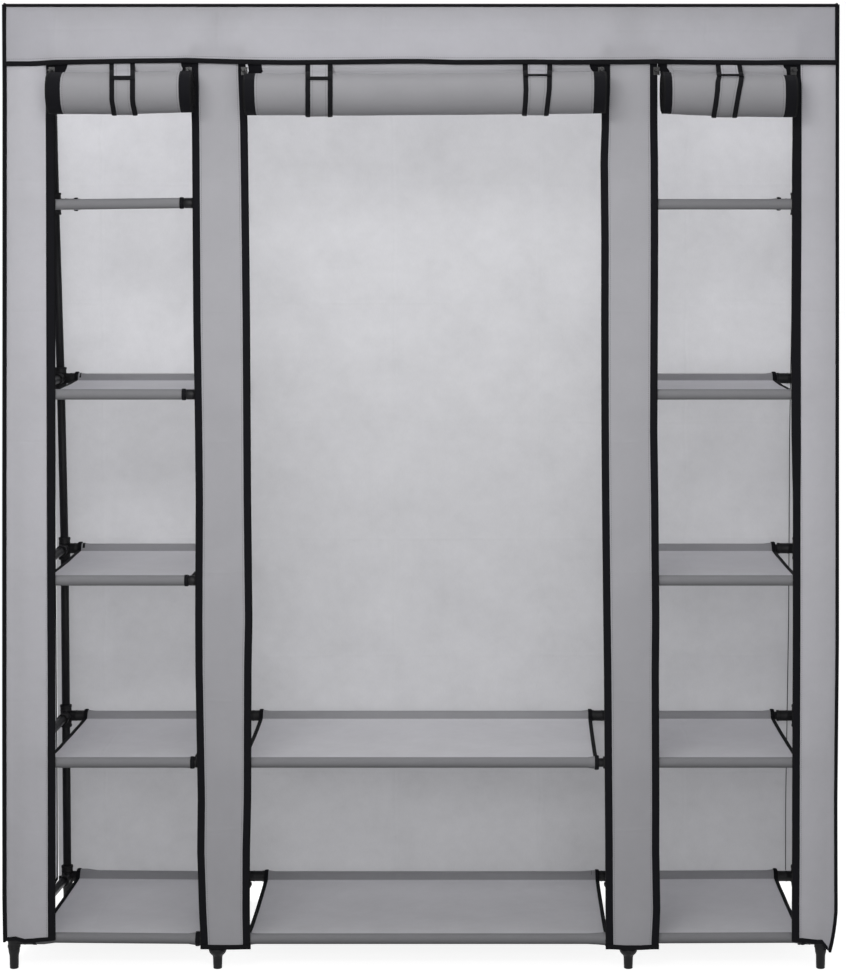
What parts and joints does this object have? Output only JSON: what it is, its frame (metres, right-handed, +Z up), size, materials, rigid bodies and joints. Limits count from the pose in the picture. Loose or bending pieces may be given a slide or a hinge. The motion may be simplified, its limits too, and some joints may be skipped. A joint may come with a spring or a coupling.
{
  "type": "fabric wardrobe",
  "caption": "Free-standing wardrobe with a tube frame, fabric shelves, a clothes rod, a fabric cover and front doors that roll up and are held by straps beside their zips.",
  "frame": {"origin": "middle of the bounding box's bottom, on the floor", "axes": "+Z up, the front with the doors faces -Y, +X to the right as seen from the front"},
  "size_m": [1.5, 0.5378, 1.75],
  "materials": {
    "black_steel": "satin black powder coat",
    "black_plastic": "moulded, matte black",
    "cover_cloth": "grey non-woven cloth with black bound edges",
    "shelf_cloth": "grey non-woven cloth, darker where it is sewn round the tubes",
    "zip_metal": "black enamel, slightly glossy"
  },
  "bodies": {
    "wardrobe": {"back_panel": "cover_cloth", "clothes_rod": "black_steel", "inner_left_back_foot": "black_plastic", "inner_left_frame": "black_steel", "inner_left_front_foot": "black_plastic", "inner_left_strip": "cover_cloth", "inner_right_back_foot": "black_plastic", "inner_right_frame": "black_steel", "inner_right_front_foot": "black_plastic", "inner_right_strip": "cover_cloth", "left_door_curtain": "cover_cloth", "left_door_strap": "cover_cloth", "left_shelf_1": "shelf_cloth", "left_shelf_2": "shelf_cloth", "left_shelf_3": "shelf_cloth", "left_shelf_4": "shelf_cloth", "left_shelf_5": "shelf_cloth", "left_side_panel": "cover_cloth", "left_top_back_tube": "black_steel", "left_top_front_tube": "black_steel", "middle_door_curtain": "cover_cloth", "middle_door_strap_1": "cover_cloth", "middle_door_strap_2": "cover_cloth", "middle_shelf_1": "shelf_cloth", "middle_shelf_2": "shelf_cloth", "middle_top_back_tube": "black_steel", "middle_top_front_tube": "black_steel", "outer_left_back_foot": "black_plastic", "outer_left_frame": "black_steel", "outer_left_front_foot": "black_plastic", "outer_right_back_foot": "black_plastic", "outer_right_frame": "black_steel", "outer_right_front_foot": "black_plastic", "right_door_curtain": "cover_cloth", "right_door_strap": "cover_cloth", "right_shelf_1": "shelf_cloth", "right_shelf_2": "shelf_cloth", "right_shelf_3": "shelf_cloth", "right_shelf_4": "shelf_cloth", "right_shelf_5": "shelf_cloth", "right_side_panel": "cover_cloth", "right_top_back_tube": "black_steel", "right_top_front_tube": "black_steel", "top_cover": "cover_cloth"},
    "left_rolled_door": {"left_door_roll": "cover_cloth"},
    "middle_rolled_door": {"middle_door_roll": "cover_cloth"},
    "right_rolled_door": {"right_door_roll": "cover_cloth"},
    "slider_1": {"zip_slider_1": "zip_metal"},
    "pull_1": {"zip_pull_1": "zip_metal"},
    "slider_2": {"zip_slider_2": "zip_metal"},
    "pull_2": {"zip_pull_2": "zip_metal"},
    "slider_3": {"zip_slider_3": "zip_metal"},
    "pull_3": {"zip_pull_3": "zip_metal"},
    "slider_4": {"zip_slider_4": "zip_metal"},
    "pull_4": {"zip_pull_4": "zip_metal"},
    "slider_5": {"zip_slider_5": "zip_metal"},
    "pull_5": {"zip_pull_5": "zip_metal"},
    "slider_6": {"zip_slider_6": "zip_metal"},
    "pull_6": {"zip_pull_6": "zip_metal"}
  },
  "joints": [
    {"name": "left_door_unroll", "type": "slide", "parent": "wardrobe", "child": "left_rolled_door", "axis": [0, 0, -1], "range_m": [0, 1.5], "deforming": ["left_door_curtain", "left_door_strap"]},
    {"name": "middle_door_unroll", "type": "slide", "parent": "wardrobe", "child": "middle_rolled_door", "axis": [0, 0, -1], "range_m": [0, 1.5], "deforming": ["middle_door_curtain", "middle_door_strap_1", "middle_door_strap_2"]},
    {"name": "right_door_unroll", "type": "slide", "parent": "wardrobe", "child": "right_rolled_door", "axis": [0, 0, -1], "range_m": [0, 1.5], "deforming": ["right_door_curtain", "right_door_strap"]},
    {"name": "slider_1_slide", "type": "slide", "parent": "wardrobe", "child": "slider_1", "axis": [0, 0, -1], "range_m": [0, 1.5]},
    {"name": "pull_1_lift", "type": "hinge", "parent": "slider_1", "child": "pull_1", "pos_m": [-0.663, -0.18819, 1.62903], "axis": [-1, 0, 0], "range_deg": [0, 95]},
    {"name": "slider_2_slide", "type": "slide", "parent": "wardrobe", "child": "slider_2", "axis": [0, 0, -1], "range_m": [0, 1.5]},
    {"name": "pull_2_lift", "type": "hinge", "parent": "slider_2", "child": "pull_2", "pos_m": [-0.418, -0.18819, 1.62903], "axis": [-1, 0, 0], "range_deg": [0, 95]},
    {"name": "slider_3_slide", "type": "slide", "parent": "wardrobe", "child": "slider_3", "axis": [0, 0, -1], "range_m": [0, 1.5]},
    {"name": "pull_3_lift", "type": "hinge", "parent": "slider_3", "child": "pull_3", "pos_m": [-0.319, -0.18819, 1.62903], "axis": [-1, 0, 0], "range_deg": [0, 95]},
    {"name": "slider_4_slide", "type": "slide", "parent": "wardrobe", "child": "slider_4", "axis": [0, 0, -1], "range_m": [0, 1.5]},
    {"name": "pull_4_lift", "type": "hinge", "parent": "slider_4", "child": "pull_4", "pos_m": [0.319, -0.18819, 1.62903], "axis": [-1, 0, 0], "range_deg": [0, 95]},
    {"name": "slider_5_slide", "type": "slide", "parent": "wardrobe", "child": "slider_5", "axis": [0, 0, -1], "range_m": [0, 1.5]},
    {"name": "pull_5_lift", "type": "hinge", "parent": "slider_5", "child": "pull_5", "pos_m": [0.418, -0.18819, 1.62903], "axis": [-1, 0, 0], "range_deg": [0, 95]},
    {"name": "slider_6_slide", "type": "slide", "parent": "wardrobe", "child": "slider_6", "axis": [0, 0, -1], "range_m": [0, 1.5]},
    {"name": "pull_6_lift", "type": "hinge", "parent": "slider_6", "child": "pull_6", "pos_m": [0.663, -0.18819, 1.62903], "axis": [-1, 0, 0], "range_deg": [0, 95]}
  ],
  "couplings": [
    {"joint": "slider_1_slide", "follows": "left_door_unroll", "ratio": 1},
    {"joint": "slider_2_slide", "follows": "left_door_unroll", "ratio": 1},
    {"joint": "slider_3_slide", "follows": "middle_door_unroll", "ratio": 1},
    {"joint": "slider_4_slide", "follows": "middle_door_unroll", "ratio": 1},
    {"joint": "slider_5_slide", "follows": "right_door_unroll", "ratio": 1},
    {"joint": "slider_6_slide", "follows": "right_door_unroll", "ratio": 1}
  ]
}
